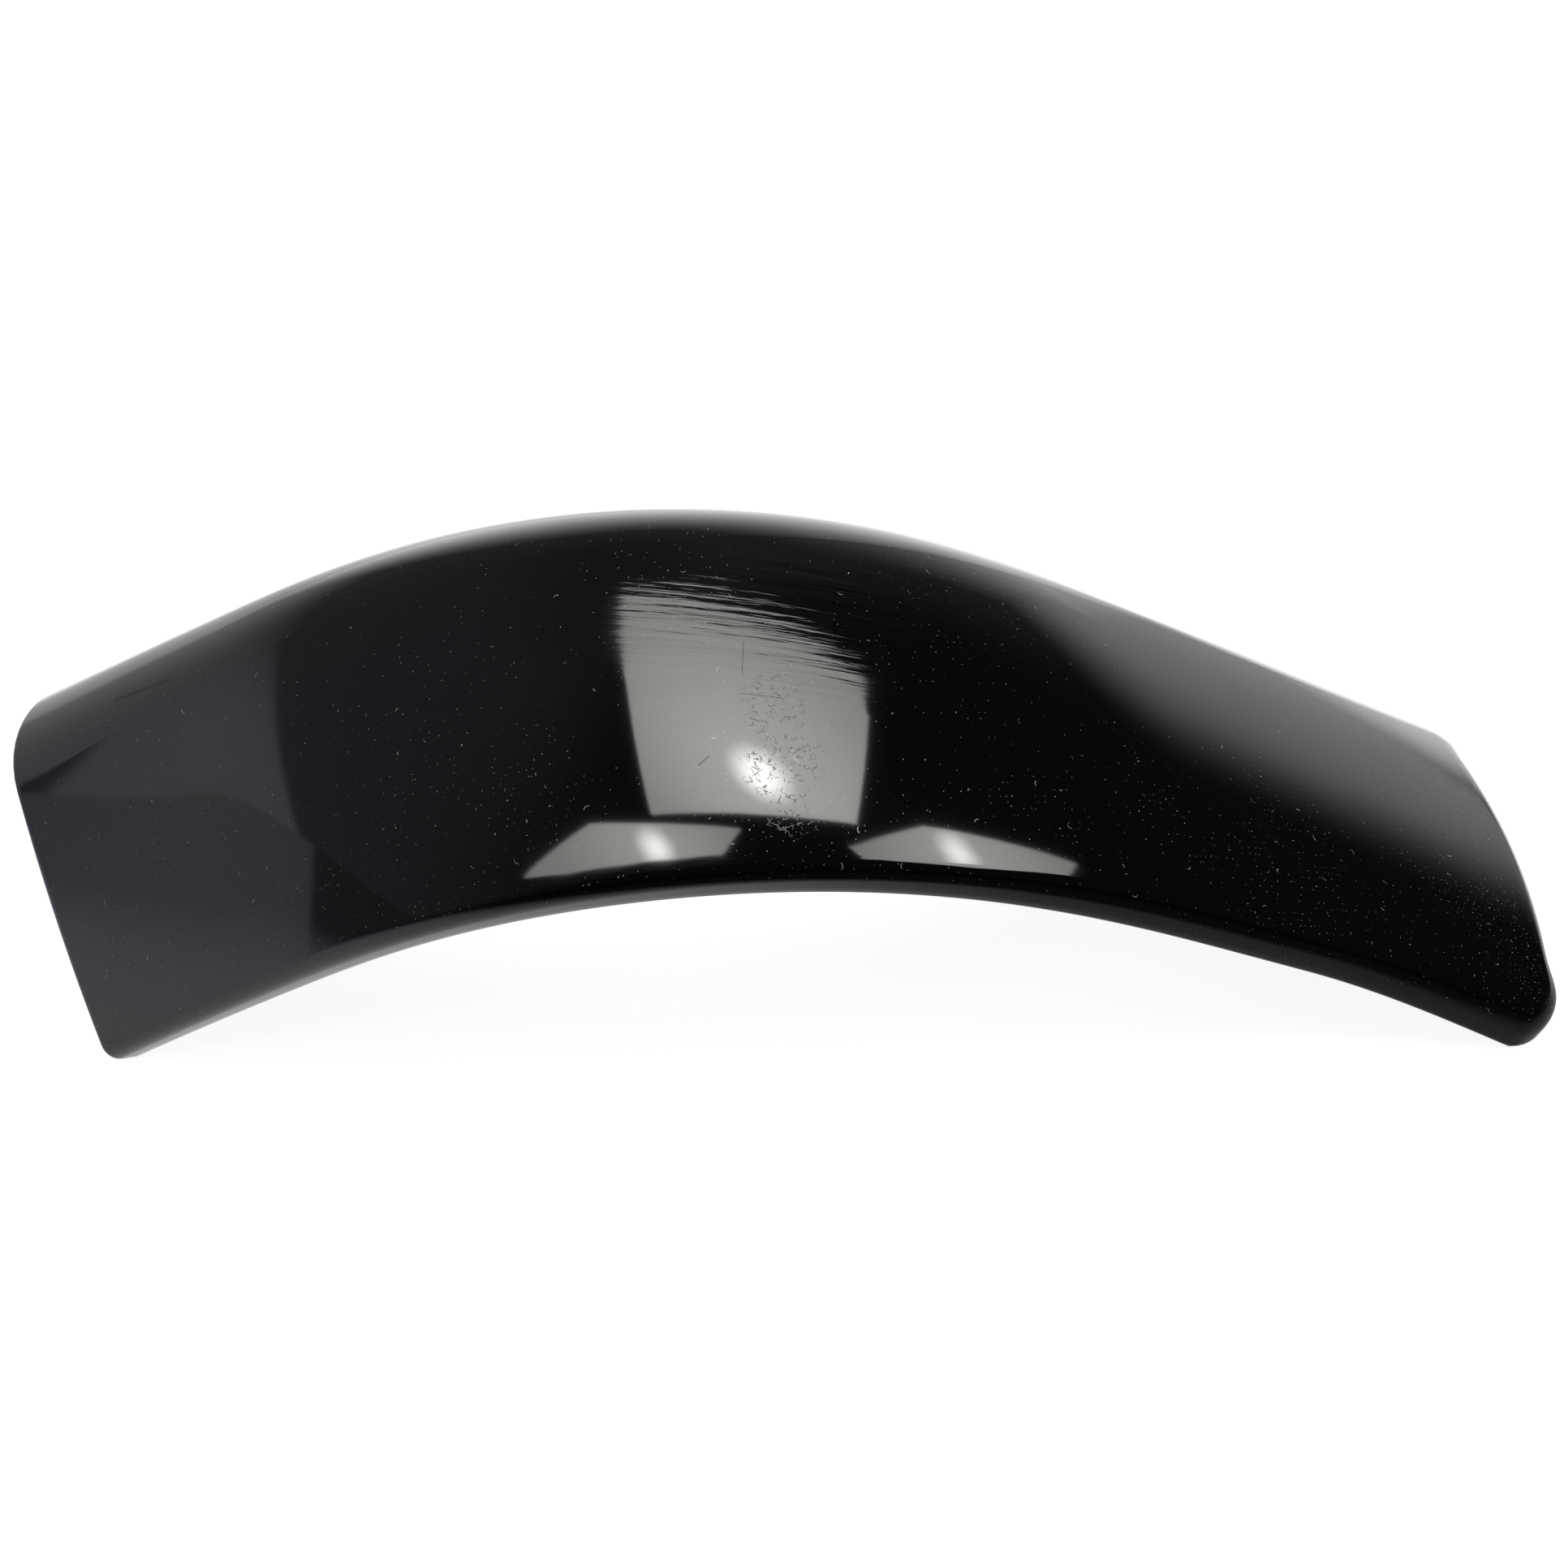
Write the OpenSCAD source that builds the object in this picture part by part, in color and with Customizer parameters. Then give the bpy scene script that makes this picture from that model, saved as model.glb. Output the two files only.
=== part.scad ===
// Roof moulding: one injection-moulded shell of gloss black plastic. A crowned face runs from
// a square-cut open end to a closed nose. It arches over its length, turns a little to one side
// and twists. Both sides and the nose roll over into walls, and the shell is open underneath.
//
// The shell is described as a flat blank and then bent. On the blank, s runs along the middle
// of the face from the open end, y runs across it towards the far side, and z stands up from it.

/* [Face] */
// Length of the face along its middle line
face_l = 331; // [320:1:340]
// Width across both sides at the open end
open_w = 79.5; // [74:0.5:85]
// Width across both sides half way along
middle_w = 90; // [84:0.5:96]
// Width across both sides at the nose
nose_w = 99.5; // [94:0.5:105]
// Drift of the middle line towards the near side, half way along
middle_drift = 7; // [4:0.5:10]
// Drift of the middle line towards the near side, at the nose
nose_drift = 29.5; // [26:0.5:32]
// Radius of the crown across the face at the open end
open_crown_r = 400; // [300:10:600]
// Radius of the crown across the face half way along
middle_crown_r = 95; // [85:5:120]
// Radius of the crown across the face at the nose
nose_crown_r = 245; // [200:5:400]

/* [Bends] */
// Climb of the face at the open end, in degrees
open_climb = 39.5; // [36:0.5:43]
// Fall of the face at the nose, in degrees
nose_fall = 51; // [47:0.5:54]
// Where the arch starts, along the face
arch_from = 51; // [40:1:62]
// Where the arch ends, along the face
arch_to = 239; // [225:1:250]
// Heading of the face at the open end, in degrees
open_heading = 9.5; // [6:0.5:13]
// Turn of the heading towards the near side, in degrees
side_turn = 7.5; // [4:0.5:11]
// Where the sideways turn starts, along the face
turn_from = 134; // [120:1:150]
// Lean of the face towards the near side at the open end, in degrees
open_lean = 13.5; // [10:0.5:17]
// Lean of the face towards the far side at the nose, in degrees
nose_lean = 33; // [29:0.5:36]

/* [Sides and nose] */
// Radius of the wide roll-over on the far side
far_r = 20; // [16:0.5:24]
// Depth of the wall below the far roll-over
far_wall = 8; // [5:0.5:12]
// Radius of the tight roll-over on the near side
near_r = 12; // [9:0.25:14]
// Depth of the wall below the near roll-over
near_wall = 1; // [1:0.25:4]
// Radius of the roll-over along the nose
nose_r = 3.5; // [3.25:0.25:5]
// Depth of the wall below the nose roll-over
nose_wall = 4; // [3:0.5:8]
// Turn from the middle of the crown to the side walls, in degrees: the rest to 90 is draft
roll_turn = 86; // [80:1:89]
// Slant of the nose: how far it runs on for each mm towards the far side
nose_slant = 0.3; // [0.2:0.01:0.4]
// Bow of the nose between its two corners
nose_bow = 0.4; // [0.2:0.1:2]
// Plan radius of the face corners at the nose
corner_r = 2; // [2:0.5:6]
// Length over which the side and nose sections run into each other
blend_l = 16; // [10:1:24]

/* [Moulding] */
// Thickness of the shell
wall_t = 2.5; // [2:0.1:3]
// Rounding of the free edges of the shell
edge_r = 0.8; // [0.4:0.1:0.9]

/* [Hidden] */

// Fineness of the skin
stations = 62;
corner_steps = 5;
middle_lanes = 8;
roll_steps = 6;
edge_steps = 2;
spine_steps = 150;

// Ramps along the face
function ease(x) = let (c = max(0, min(1, x))) c * c * (3 - 2 * c);
function ramp(s, from, to, start, end) = from + (to - from) * ease((s - start) / (end - start));
function through(s, first, middle, last) =
    let (u = s / face_l)
    first * (1 - u) * (1 - 2 * u) + 4 * middle * u * (1 - u) + last * u * (2 * u - 1);

// Edges of the blank: far and near half widths at a station
function half_w(s) = through(s, open_w, middle_w, nose_w) / 2;
function drift(s) = through(s, 0, middle_drift, nose_drift);
function far_edge(s) = half_w(s) - drift(s);
function near_edge(s) = half_w(s) + drift(s);

// Directions of the bent face at a station
function climb(s) = ramp(s, open_climb, -nose_fall, arch_from, arch_to);
function heading(s) = ramp(s, open_heading, open_heading - side_turn, turn_from, face_l);
function lean(s) = open_lean - (open_lean + nose_lean) * max(0, min(1, s / face_l));
function along(s) =
    let (h = heading(s), c = climb(s)) [cos(h) * cos(c), sin(h) * cos(c), sin(c)];
function level(s) = [-sin(heading(s)), cos(heading(s)), 0];
function across(s) = cos(lean(s)) * level(s) + sin(lean(s)) * cross(along(s), level(s));
function above(s) = cross(along(s), across(s));

// Crown: its radius at a station, and its turn away from the middle of the face's width
function crown_r(s) = 1 / through(s, 1 / open_crown_r, 1 / middle_crown_r, 1 / nose_crown_r);
function crown_turn(q) = (q.y + drift(q.x)) / crown_r(q.x) * 180 / PI;

// Middle line of the bent face
spine_step = face_l / spine_steps;
spine = [for (i = 0, p = [0, 0, 0]; i <= spine_steps;
              p = p + spine_step * along((i + 0.5) * spine_step), i = i + 1) p];
function spine_at(s) =
    let (x = s / spine_step, i = max(0, min(spine_steps - 1, floor(x))))
    spine[i] + (x - i) * (spine[i + 1] - spine[i]);
function bent(q) =
    let (s = max(0, min(face_l, q.x)), a = crown_turn([s, q.y]), r = crown_r(s))
    spine_at(q.x) + ((r + q.z) * sin(a) - drift(s)) * across(s) + ((r + q.z) * cos(a) - r) * above(s);

// Lanes across the face, between its two roll-overs: the outer ones follow the corner arcs
lanes = 2 * corner_steps + middle_lanes;
function arc_gap(j) = corner_r * (1 - cos(90 * j / corner_steps));
function lane_y(j, s) =
    let (near = near_r - near_edge(s), far = far_edge(s) - far_r, back = lanes - 1 - j)
    j <= corner_steps ? near + arc_gap(j)
    : back <= corner_steps ? far - arc_gap(back)
    : near + corner_r + (far - near - 2 * corner_r) * (j - corner_steps) / (middle_lanes - 1);

// Where a lane ends at the nose, with rounded corners
function corner_cut(gap) = gap >= corner_r ? 0 : corner_r - sqrt(corner_r ^ 2 - (corner_r - gap) ^ 2);
function nose_line(y) =
    let (from_near = y + near_edge(face_l), reach = from_near / nose_w)
    face_l - nose_r - nose_slant * (far_edge(face_l) - y) - nose_bow * (2 * reach - 1) ^ 2;
function lane_end(j, s = face_l, again = 3) =
    let (y = lane_y(j, s), next = nose_line(y)
         - corner_cut(y - lane_y(0, s)) - corner_cut(lane_y(lanes - 1, s) - y))
    again == 0 ? next : lane_end(j, next, again - 1);
lane_ends = [for (j = [0 : lanes - 1]) lane_end(j)];

// Rounded edge at the open end: the skins come closer together over the first stations
edge_stations = [for (e = [0 : edge_steps]) edge_r * (1 - cos(90 * e / edge_steps))];
function inset(s) = s >= edge_r ? 0 : edge_r - sqrt(edge_r ^ 2 - (edge_r - s) ^ 2);
function station(i, j) =
    i <= edge_steps ? edge_stations[i]
    : edge_r + (lane_ends[j] - edge_r) * (i - edge_steps) / (stations - 1 - edge_steps);
function face_point(i, j) = let (s = station(i, j)) [s, lane_y(j, s), 0];

// Loop round the face: near side, nose, far side, as pairs of station and lane
loop = concat(
    [for (i = [0 : stations - 1]) [i, 0]],
    [for (j = [1 : lanes - 1]) [stations - 1, j]],
    [for (i = [stations - 2 : -1 : 0]) [i, lanes - 1]]);
last = len(loop) - 1;
loop_points = [for (k = loop) face_point(k[0], k[1])];
function outward(k) =
    k == 0 ? [0, -1, 0] : k == last ? [0, 1, 0]
    : let (d = loop_points[k + 1] - loop_points[k - 1]) [d.y, -d.x, 0] / norm([d.x, d.y]);

// Share of the near and far sections at a point of the loop: the rest is the nose's
function side_share(gap) = ease(0.5 - gap / blend_l);
function near_share(p) =
    side_share(max(p.x - lane_ends[0], p.y - lane_y(0, lane_ends[0])));
function far_share(p) =
    side_share(max(p.x - lane_ends[lanes - 1], lane_y(lanes - 1, lane_ends[lanes - 1]) - p.y));
function blended(k, near, far, nose) =
    let (p = loop_points[k], n = near_share(p), f = far_share(p))
    k < stations ? nose + n * (near - nose)
    : k > last - stations ? nose + f * (far - nose)
    : nose + n * (near - nose) + f * (far - nose);
loop_r = [for (k = [0 : last]) blended(k, near_r, far_r, nose_r)];
loop_turn = [for (k = [0 : last]) roll_turn - outward(k).y * crown_turn(loop_points[k])];
loop_wall = [for (k = [0 : last]) blended(k, near_wall, far_wall, nose_wall)];

// Path of the section from the outer face to the inner face, each step a list of
// depth into the shell, turn round the roll-over and distance down the wall
edge_turns = [for (e = [0 : edge_steps]) 90 * e / edge_steps];
function lip(a) = [edge_r * (1 - cos(a)), edge_r * (sin(a) - 1)];
path = concat(
    [for (i = [0 : roll_steps]) [0, i / roll_steps, 0, 0]],
    [for (a = edge_turns) [lip(a)[0], 1, 1, lip(a)[1]]],
    [for (a = [for (e = [edge_steps : -1 : 0]) edge_turns[e]]) [wall_t - lip(a)[0], 1, 1, lip(a)[1]]],
    [for (i = [roll_steps : -1 : 0]) [wall_t, i / roll_steps, 0, 0]]);
path_end = len(path) - 1;
function section_point(k, m) =
    let (step = path[m], p = loop_points[k], r = loop_r[k],
         thin = inset(p.x) * (m < path_end / 2 ? 1 : -1),
         depth = r - step[0] - thin,
         turn = loop_turn[k] * step[1],
         down = step[2] * loop_wall[k] + step[3])
    p + outward(k) * (depth * sin(turn) + down * cos(turn))
      + [0, 0, depth * cos(turn) - r - down * sin(turn)];

// Points: outer face, inner face, then the sections between them
function skin_point(i, j, inner) =
    let (p = face_point(i, j), thin = inset(p.x)) p - [0, 0, inner ? wall_t - thin : thin];
flat_points = concat(
    [for (i = [0 : stations - 1]) for (j = [0 : lanes - 1]) skin_point(i, j, false)],
    [for (i = [0 : stations - 1]) for (j = [0 : lanes - 1]) skin_point(i, j, true)],
    [for (k = [0 : last]) for (m = [1 : path_end - 1]) section_point(k, m)]);
bent_points = [for (q = flat_points) bent(q)];

face_count = stations * lanes;
function outer_id(i, j) = i * lanes + j;
function inner_id(i, j) = face_count + i * lanes + j;
function section_id(k, m) =
    m == 0 ? outer_id(loop[k][0], loop[k][1])
    : m == path_end ? inner_id(loop[k][0], loop[k][1])
    : 2 * face_count + k * (path_end - 1) + m - 1;

function two(a, b, c, d) = [[a, b, c], [a, c, d]];
half_path = (path_end - 1) / 2;
skin_faces = [
    for (i = [0 : stations - 2]) for (j = [0 : lanes - 2])
        each concat(
            two(outer_id(i, j), outer_id(i, j + 1), outer_id(i + 1, j + 1), outer_id(i + 1, j)),
            two(inner_id(i, j), inner_id(i + 1, j), inner_id(i + 1, j + 1), inner_id(i, j + 1))),
    for (k = [0 : last - 1]) for (m = [0 : path_end - 1])
        each two(section_id(k, m), section_id(k + 1, m),
                 section_id(k + 1, m + 1), section_id(k, m + 1)),
    for (j = [0 : lanes - 2])
        each two(outer_id(0, j + 1), outer_id(0, j), inner_id(0, j), inner_id(0, j + 1)),
    for (m = [0 : half_path - 1])
        each concat(
            two(section_id(0, m), section_id(0, m + 1),
                section_id(0, path_end - m - 1), section_id(0, path_end - m)),
            two(section_id(last, m + 1), section_id(last, m),
                section_id(last, path_end - m), section_id(last, path_end - m - 1)))];

// Resting frame: the shell stands on the near corner of its open end and on both corners
// of its nose. Each foot is the lowest rim point of its corner, found again each time that
// the plane through the feet tips. X runs along the near side, and the origin is under the
// middle of the box.
foot_stations = 14;
function rim_points(from, to) =
    [for (k = [from : to]) for (m = [roll_steps : path_end - roll_steps]) bent_points[section_id(k, m)]];
corners = [
    rim_points(0, edge_steps),
    rim_points(stations - foot_stations, stations + corner_steps),
    rim_points(last - stations - corner_steps, last - stations + foot_stations)];
function unit(v) = v / norm(v);
function lowest(points, up) = let (h = [for (p = points) p * up]) points[search(min(h), h)[0]];
function feet(up = [0, 0, 1], again = 6) =
    let (f = [for (c = corners) lowest(c, up)])
    again == 0 ? f : feet(unit(cross(f[1] - f[0], f[2] - f[0])), again - 1);
stand = feet();
rest_x = unit(stand[1] - stand[0]);
rest_z = unit(cross(rest_x, stand[2] - stand[0]));
rest_y = cross(rest_z, rest_x);
rest_points = [for (p = bent_points) let (q = p - stand[0]) [q * rest_x, q * rest_y, q * rest_z]];
low = [for (axis = [0 : 2]) min([for (p = rest_points) p[axis]])];
high = [for (axis = [0 : 2]) max([for (p = rest_points) p[axis]])];
base = [(low.x + high.x) / 2, (low.y + high.y) / 2, low.z];

module cover() {
    color("#101114")
    polyhedron(points = [for (p = rest_points) p - base], faces = skin_faces, convexity = 6);
}

cover();
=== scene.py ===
# %% [markdown]
# # A roof moulding in gloss black
#
# The part is one injection-moulded shell. It covers the end of a car's roof moulding: an arched
# channel with a wide soft roll-over along its far side, a tighter one along its near side, a
# closed slanted nose and a square-cut open end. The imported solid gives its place, its box and
# its body. This script makes the fine skin, the gloss, the dust and the light.

# %% Load the frame
import math
import bmesh
import bpy
from mathutils import Matrix, Vector


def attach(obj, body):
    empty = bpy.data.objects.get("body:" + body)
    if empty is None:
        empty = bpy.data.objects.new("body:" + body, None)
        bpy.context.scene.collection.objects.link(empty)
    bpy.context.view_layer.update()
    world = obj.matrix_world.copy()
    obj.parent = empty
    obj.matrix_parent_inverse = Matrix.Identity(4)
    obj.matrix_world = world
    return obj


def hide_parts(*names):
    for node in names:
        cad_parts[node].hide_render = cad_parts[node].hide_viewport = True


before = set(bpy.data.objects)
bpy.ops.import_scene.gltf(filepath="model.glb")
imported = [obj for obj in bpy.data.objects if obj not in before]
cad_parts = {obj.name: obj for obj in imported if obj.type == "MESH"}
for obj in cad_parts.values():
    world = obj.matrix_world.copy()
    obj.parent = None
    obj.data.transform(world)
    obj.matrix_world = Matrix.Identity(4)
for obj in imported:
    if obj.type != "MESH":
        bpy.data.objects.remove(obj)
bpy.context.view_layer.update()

mm = 0.001

# %% [markdown]
# ## How long and how wide
#
# A shell like this can be sculpted, or lofted between curves. Here it is made as a press shop
# would think of it: a flat blank is outlined, its sides are rolled over, and the whole is bent
# along its middle line. Every size is then one plain number, the same as in the solid.

# %% Sizes of the blank, in millimetres
FACE_L = 331
OPEN_W, MIDDLE_W, NOSE_W = 79.5, 90, 99.5
MIDDLE_DRIFT, NOSE_DRIFT = 7, 29.5
OPEN_CROWN_R, MIDDLE_CROWN_R, NOSE_CROWN_R = 400, 95, 245
FAR_R, FAR_WALL = 20, 8
NEAR_R, NEAR_WALL = 12, 1
NOSE_R, NOSE_WALL = 3.5, 4
NOSE_SLANT, NOSE_BOW = 0.3, 0.4
CORNER_R, BLEND_L = 2, 16
WALL_T, EDGE_R = 2.5, 0.8
ROLL_TURN = math.radians(86)
print("blank", FACE_L, "mm long,", OPEN_W, "to", NOSE_W, "mm wide")

# %% Bends of the middle line, in degrees and millimetres
OPEN_CLIMB, NOSE_FALL = 39.5, 51
ARCH_FROM, ARCH_TO = 51, 239
OPEN_HEADING, SIDE_TURN, TURN_FROM = 9.5, 7.5, 134
OPEN_LEAN, NOSE_LEAN = 13.5, 33
print("it climbs at", OPEN_CLIMB, "degrees and falls at", NOSE_FALL)

# %% Fineness of the skin
STATIONS = 200
CORNER_LANES = 9
MIDDLE_LANES = 38
LANES = 2 * CORNER_LANES + MIDDLE_LANES
ROLL_STEPS = 12
SPINE_STEPS = 400
print(STATIONS, "rows by", LANES, "lanes")


# %% Edges of the blank at a station
def ease(x):
    c = max(0.0, min(1.0, x))
    return c * c * (3 - 2 * c)


def ramp(s, first, last, start, end):
    return first + (last - first) * ease((s - start) / (end - start))


def through(s, first, middle, last):
    u = s / FACE_L
    return first * (1 - u) * (1 - 2 * u) + 4 * middle * u * (1 - u) + last * u * (2 * u - 1)


def drift(s):
    return through(s, 0, MIDDLE_DRIFT, NOSE_DRIFT)


def far_edge(s):
    return through(s, OPEN_W, MIDDLE_W, NOSE_W) / 2 - drift(s)


def near_edge(s):
    return through(s, OPEN_W, MIDDLE_W, NOSE_W) / 2 + drift(s)


print("width at the nose", far_edge(FACE_L) + near_edge(FACE_L), "mm")


# %% Crown across the face: its radius, and its turn away from the middle of the width
def crown_r(s):
    return 1 / through(s, 1 / OPEN_CROWN_R, 1 / MIDDLE_CROWN_R, 1 / NOSE_CROWN_R)


def crown_turn(s, y):
    return (y + drift(s)) / crown_r(s)


print("crown radius half way", round(crown_r(FACE_L / 2), 1), "mm")

# %% [markdown]
# ## The flat face
#
# The face is the part of the shell between its roll-overs. A plain grid has the right topology:
# rows across, lanes along. Its outer lanes are pulled back at the nose along two small arcs, so
# the corners come out round without a single triangle.


# %% Where the lanes run and where they end
LANE_ROUNDS = 4


def lane_y(j, s):
    near, far = NEAR_R - near_edge(s), far_edge(s) - FAR_R
    back = LANES - 1 - j
    arc = lambda n: CORNER_R * (1 - math.cos(math.pi / 2 * n / CORNER_LANES))
    if j <= CORNER_LANES:
        return near + arc(j)
    if back <= CORNER_LANES:
        return far - arc(back)
    share = (j - CORNER_LANES) / (MIDDLE_LANES - 1)
    return near + CORNER_R + (far - near - 2 * CORNER_R) * share


def corner_cut(gap):
    if gap >= CORNER_R:
        return 0.0
    return CORNER_R - math.sqrt(CORNER_R ** 2 - (CORNER_R - gap) ** 2)


def nose_line(y):
    reach = (y + near_edge(FACE_L)) / NOSE_W
    slant = NOSE_SLANT * (far_edge(FACE_L) - y)
    return FACE_L - NOSE_R - slant - NOSE_BOW * (2 * reach - 1) ** 2


def lane_end(j):
    s = FACE_L
    for again in range(LANE_ROUNDS):
        y = lane_y(j, s)
        s = nose_line(y) - corner_cut(y - lane_y(0, s)) - corner_cut(lane_y(LANES - 1, s) - y)
    return s


lane_ends = [lane_end(j) for j in range(LANES)]
print("lanes end at", round(lane_ends[0], 1), "to", round(lane_ends[-1], 1), "mm")

# %% Draw the face as a grid
blank = bmesh.new()
bmesh.ops.create_grid(blank, x_segments=STATIONS - 1, y_segments=LANES - 1, size=0.5)
loop = {}
for v in blank.verts:
    i = round((v.co.x + 0.5) * (STATIONS - 1))
    j = round((v.co.y + 0.5) * (LANES - 1))
    s = lane_ends[j] * i / (STATIONS - 1)
    v.co = Vector((s, lane_y(j, s), 0))
    if j == 0:
        loop[i] = v
    elif i == STATIONS - 1:
        loop[i + j] = v
    elif j == LANES - 1:
        loop[2 * (STATIONS - 1) + LANES - 1 - i] = v
rim = [loop[k] for k in sorted(loop)]
print("face", len(blank.verts), "points,", len(rim), "round its two sides and nose")

# %% [markdown]
# ## Rolled-over sides
#
# On the real part the sides and nose turn down into short walls, so the shell is stiff and its
# free edge is out of sight. An extrude of the rim, repeated in small turns, makes each roll-over.
# The three sides have their own radius and depth, and they run into each other at the corners.


# %% What the section is at each point of the rim
def side_share(gap):
    return ease(0.5 - gap / BLEND_L)


def blended(p, on_near, on_far, near, far, nose):
    near_gap = max(p.x - lane_ends[0], p.y - lane_y(0, lane_ends[0]))
    far_gap = max(p.x - lane_ends[-1], lane_y(LANES - 1, lane_ends[-1]) - p.y)
    n = 0 if on_far else side_share(near_gap)
    f = 0 if on_near else side_share(far_gap)
    return nose + n * (near - nose) + f * (far - nose)


last = len(rim) - 1
outward, roll_r, roll_wall, roll_turn = [], [], [], []
for k, v in enumerate(rim):
    ahead = rim[min(k + 1, last)].co - rim[max(k - 1, 0)].co
    out = Vector((ahead.y, -ahead.x, 0)).normalized()
    if k in (0, last):
        out = Vector((0, -1 if k == 0 else 1, 0))
    outward.append(out)
    on_near, on_far = k < STATIONS, k > last - STATIONS
    roll_r.append(blended(v.co, on_near, on_far, NEAR_R, FAR_R, NOSE_R))
    roll_wall.append(blended(v.co, on_near, on_far, NEAR_WALL, FAR_WALL, NOSE_WALL))
    roll_turn.append(ROLL_TURN - out.y * crown_turn(v.co.x, v.co.y))
rim_at = [v.co.copy() for v in rim]
print("roll-over radius", round(min(roll_r), 1), "to", round(max(roll_r), 1), "mm")


def section(k, turn, down):
    r = roll_r[k]
    side = r * math.sin(turn) + down * math.cos(turn)
    drop = r * (1 - math.cos(turn)) + down * math.sin(turn)
    return rim_at[k] + outward[k] * side - Vector((0, 0, drop))


# %% Turn the rim down, step by step
flat_map = blank.loops.layers.uv.new("blank")
flat_at = {v: v.co.xy.copy() for v in blank.verts}
straight_out = {v: Vector((0, 0, 1)) for v in blank.verts}
steps = [(m / ROLL_STEPS, 0) for m in range(1, ROLL_STEPS + 1)] + [(1, 0.5), (1, 1)]
row = rim
for turn_share, wall_share in steps:
    edges = [blank.edges.get((row[k], row[k + 1])) for k in range(last)]
    made = bmesh.ops.extrude_edge_only(blank, edges=edges)["geom"]
    new = {v for v in made if isinstance(v, bmesh.types.BMVert)}
    row = [next(e.other_vert(v) for e in v.link_edges if e.other_vert(v) in new) for v in row]
    for k, v in enumerate(row):
        turn, down = turn_share * roll_turn[k], wall_share * roll_wall[k]
        v.co = section(k, turn, down)
        flat_at[v] = (rim_at[k] + outward[k] * (roll_r[k] * turn + down)).xy
        straight_out[v] = outward[k] * math.sin(turn) + Vector((0, 0, math.cos(turn)))
for face in blank.faces:
    for corner in face.loops:
        corner[flat_map].uv = flat_at[corner.vert] * mm
bmesh.ops.recalc_face_normals(blank, faces=blank.faces)
if max(blank.faces, key=lambda f: f.calc_area()).normal.z < 0:
    bmesh.ops.reverse_faces(blank, faces=blank.faces)
print("outer skin", len(blank.faces), "faces")

# %% [markdown]
# ## Thickness and free edges
#
# A mould gives a wall of even thickness and a free edge that is rounded just enough to leave
# the tool. A Solidify modifier guesses each point's direction from the faces around it, which
# folds the finest lanes. The blank knows its true directions, so a copy of the skin sinks along
# them, the two free edges are bridged, and a bevel on both sharp edges rounds them.

# %% Give the skin its wall
SHARP_FROM = math.radians(50)
EDGE_STEPS = 3
free = [e for e in blank.edges if e.is_boundary]
skin = blank.faces[:]
made = bmesh.ops.duplicate(blank, geom=blank.verts[:] + blank.edges[:] + skin)
for v in list(flat_at):
    made["vert_map"][v].co = v.co - WALL_T * straight_out[v]
inside = [f for f in made["geom"] if isinstance(f, bmesh.types.BMFace)]
bmesh.ops.reverse_faces(blank, faces=inside)
for face in inside:
    face.material_index = 1
free += [made["edge_map"][e] for e in free]
edge_strip = set(bmesh.ops.bridge_loops(blank, edges=free)["faces"])
strip_edges = [e for e in blank.edges if not edge_strip.isdisjoint(e.link_faces)]
sharp = [e for e in strip_edges
         if not edge_strip.issuperset(e.link_faces) or e.calc_face_angle() > SHARP_FROM]
print("wall", len(blank.faces), "faces,", len(edge_strip), "of them round the free edge")
bmesh.ops.bevel(blank, geom=sharp, affect="EDGES", offset=EDGE_R, offset_type="OFFSET",
                segments=EDGE_STEPS, profile=0.5, material=-1, clamp_overlap=False)
bmesh.ops.recalc_face_normals(blank, faces=blank.faces)
print("shell", len(blank.faces), "faces,", len(sharp), "sharp edges rounded")

# %% [markdown]
# ## The bend
#
# The middle line climbs from the open end, arches over and falls to the nose. Meanwhile it turns
# a little to one side, and the face leans first one way and then the other. Each point of the
# blank keeps its distance across and above the middle line, so widths and walls stay true.


# %% Directions along the middle line
def heading(s):
    return math.radians(ramp(s, OPEN_HEADING, OPEN_HEADING - SIDE_TURN, TURN_FROM, FACE_L))


def along(s):
    h, c = heading(s), math.radians(ramp(s, OPEN_CLIMB, -NOSE_FALL, ARCH_FROM, ARCH_TO))
    return Vector((math.cos(h) * math.cos(c), math.sin(h) * math.cos(c), math.sin(c)))


def level(s):
    return Vector((-math.sin(heading(s)), math.cos(heading(s)), 0))


def across(s):
    share = max(0.0, min(1.0, s / FACE_L))
    tilt = math.radians(OPEN_LEAN - (OPEN_LEAN + NOSE_LEAN) * share)
    return math.cos(tilt) * level(s) + math.sin(tilt) * along(s).cross(level(s))


step_l = FACE_L / SPINE_STEPS
spine = [Vector((0, 0, 0))]
for i in range(SPINE_STEPS):
    spine.append(spine[-1] + step_l * along((i + 0.5) * step_l))
print("middle line spans", round(spine[-1].length, 1), "mm")


def bent(q):
    s = max(0.0, min(FACE_L, q.x))
    i = max(0, min(SPINE_STEPS - 1, int(q.x // step_l)))
    middle = spine[i] + (q.x / step_l - i) * (spine[i + 1] - spine[i])
    turn, r = crown_turn(s, q.y), crown_r(s)
    sideways = (r + q.z) * math.sin(turn) - drift(s)
    upward = (r + q.z) * math.cos(turn) - r
    return middle + sideways * across(s) + upward * along(s).cross(across(s))


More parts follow.
